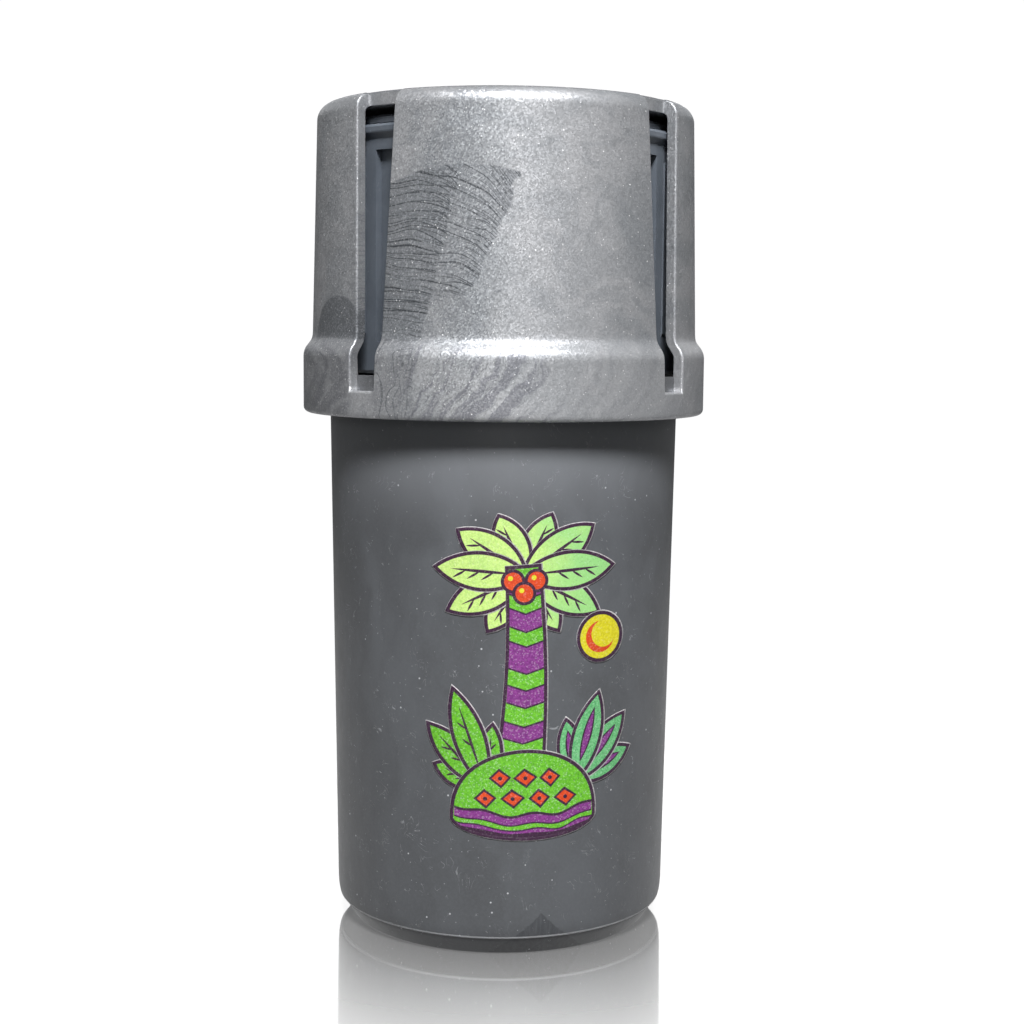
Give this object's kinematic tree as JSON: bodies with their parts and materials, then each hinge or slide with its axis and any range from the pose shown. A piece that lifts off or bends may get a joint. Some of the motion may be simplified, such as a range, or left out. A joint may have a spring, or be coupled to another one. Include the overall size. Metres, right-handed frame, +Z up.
{
  "type": "storage jar with grinder cap",
  "caption": "Round plastic storage jar with a squeeze-and-turn screw cap that holds a built-in herb grinder and a removable grinder cup.",
  "frame": {"origin": "on the axis at the base plane that the jar stands on", "axes": "+Z up along the axis towards the cap; -Y through the middle of the front squeeze panel"},
  "size_m": [0.057, 0.057, 0.1152],
  "materials": {
    "jar_plastic": "satin moulded polypropylene",
    "print_ink": "multicolour ink layer",
    "seal_rubber": "soft matte",
    "drum_plastic": "satin moulded polypropylene",
    "grinder_plastic": "satin moulded polypropylene",
    "cap_plastic": "pearlescent marbled polypropylene"
  },
  "bodies": {
    "jar": {"jar_body": "jar_plastic", "printed_graphic": "print_ink"},
    "seal": {"mouth_seal": "seal_rubber"},
    "screw_cap": {"screw_cap": "drum_plastic"},
    "grinder_cup": {"grinder_cup": "grinder_plastic"},
    "outer_cap": {"outer_cap": "cap_plastic", "grinder_rotor": "grinder_plastic", "rotor_seal": "seal_rubber"},
    "front_panel": {"front_squeeze_panel": "cap_plastic"},
    "rear_panel": {"rear_squeeze_panel": "cap_plastic"}
  },
  "joints": [
    {"name": "lid_lift", "type": "slide", "parent": "jar", "child": "seal", "axis": [0, 0, 1], "range_m": [0, 0.036]},
    {"name": "lid_unscrew", "type": "hinge", "parent": "seal", "child": "screw_cap", "pos_m": [0, 0, 0.08], "axis": [0, 0, 1], "range_deg": [0, 1080]},
    {"name": "cup_release", "type": "slide", "parent": "screw_cap", "child": "grinder_cup", "axis": [0, 0, -1], "range_m": [0, 0.022]},
    {"name": "grind_turn", "type": "hinge", "parent": "screw_cap", "child": "outer_cap", "pos_m": [0, 0, 0.1], "axis": [0, 0, 1], "continuous": true},
    {"name": "front_squeeze", "type": "slide", "parent": "outer_cap", "child": "front_panel", "axis": [0, 1, 0], "range_m": [0, 0.0012], "stiffness_N_per_m": 8000, "springref_m": -0.0002},
    {"name": "rear_squeeze", "type": "slide", "parent": "outer_cap", "child": "rear_panel", "axis": [0, -1, 0], "range_m": [0, 0.0012], "stiffness_N_per_m": 8000, "springref_m": -0.0002}
  ],
  "couplings": [
    {"joint": "lid_unscrew", "follows": "lid_lift", "rad_per_m": 523.6}
  ]
}
